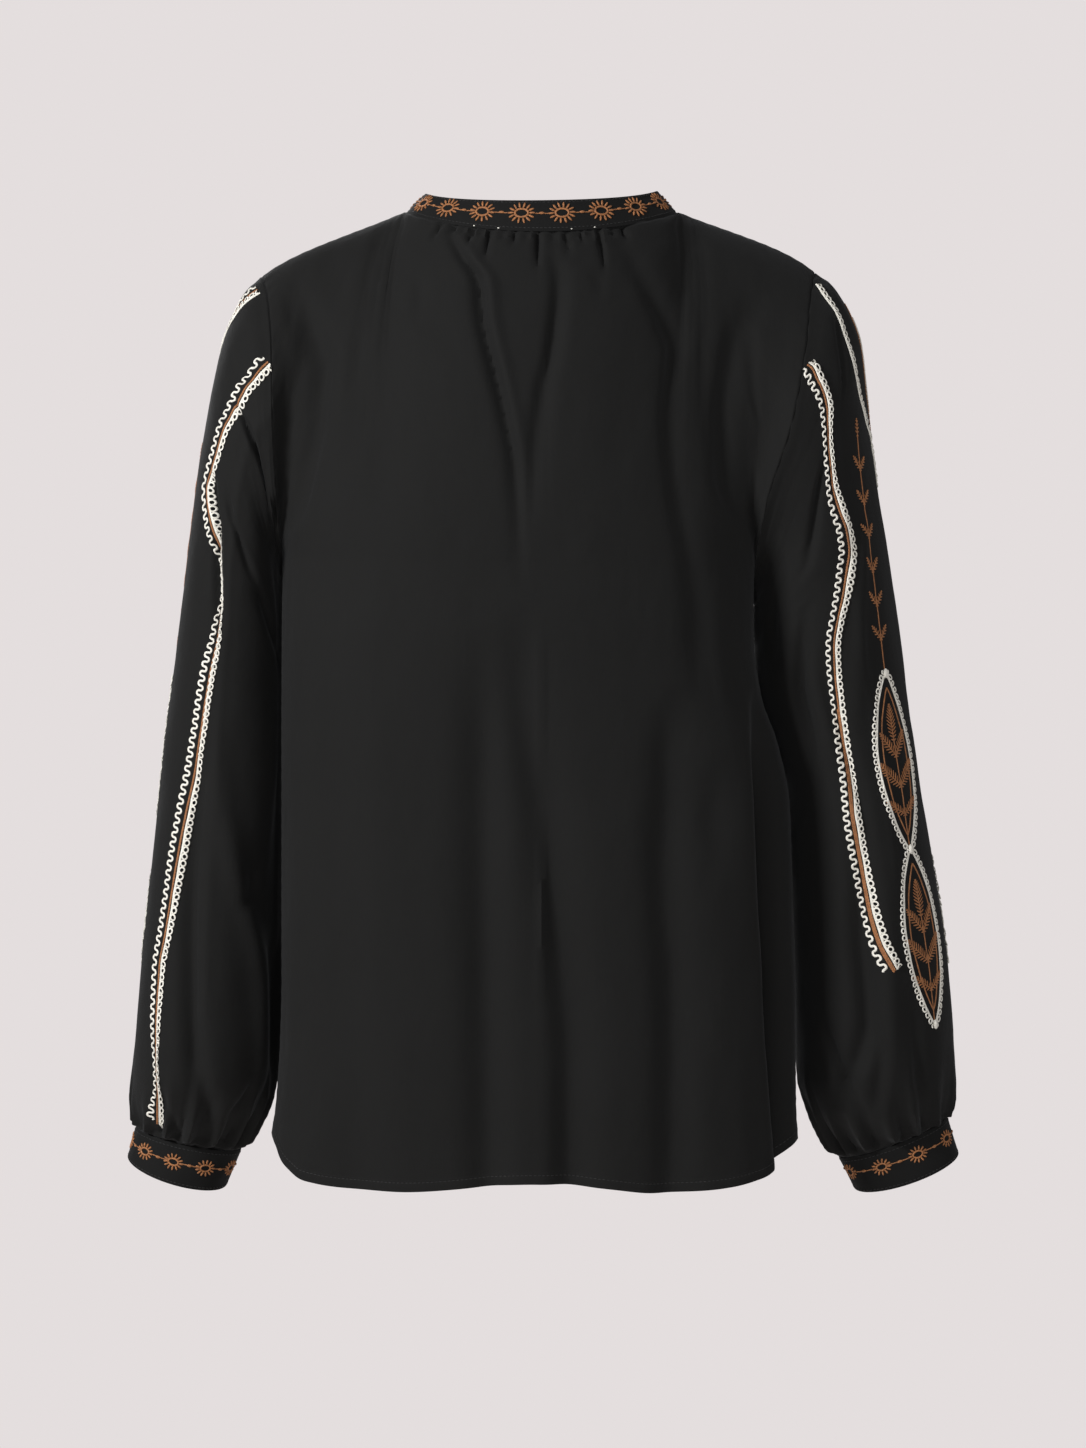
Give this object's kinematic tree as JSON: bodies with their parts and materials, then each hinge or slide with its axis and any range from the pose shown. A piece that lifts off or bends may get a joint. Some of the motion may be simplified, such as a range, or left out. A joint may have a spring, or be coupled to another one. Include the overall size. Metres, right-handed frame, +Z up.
{
  "type": "tunic",
  "caption": "Loose long-sleeved blouse, hollow as worn, with a stand collar, gathers under it, full sleeves in cuffs, a curved hem and embroidered bands.",
  "frame": {"origin": "the middle of the neck opening, level with the points where the shoulder seams meet the collar, where the wearer's shoulders carry the garment", "axes": "+Z is up, +Y is the back of the garment, +X is the wearer's left"},
  "size_m": [0.5855, 0.2295, 0.703],
  "materials": {
    "cotton": "matt black woven cotton",
    "cotton_band": "matt black woven cotton, double",
    "white_thread": "ivory cotton cord and thread",
    "brown_thread": "brown embroidery thread with a soft sheen"
  },
  "bodies": {
    "root": {"back_panel": "cotton", "front_panel": "cotton", "sleeve_left": "cotton", "sleeve_right": "cotton", "collar_band": "cotton_band", "cuff_left": "cotton_band", "cuff_right": "cotton_band"}
  },
  "joints": []
}
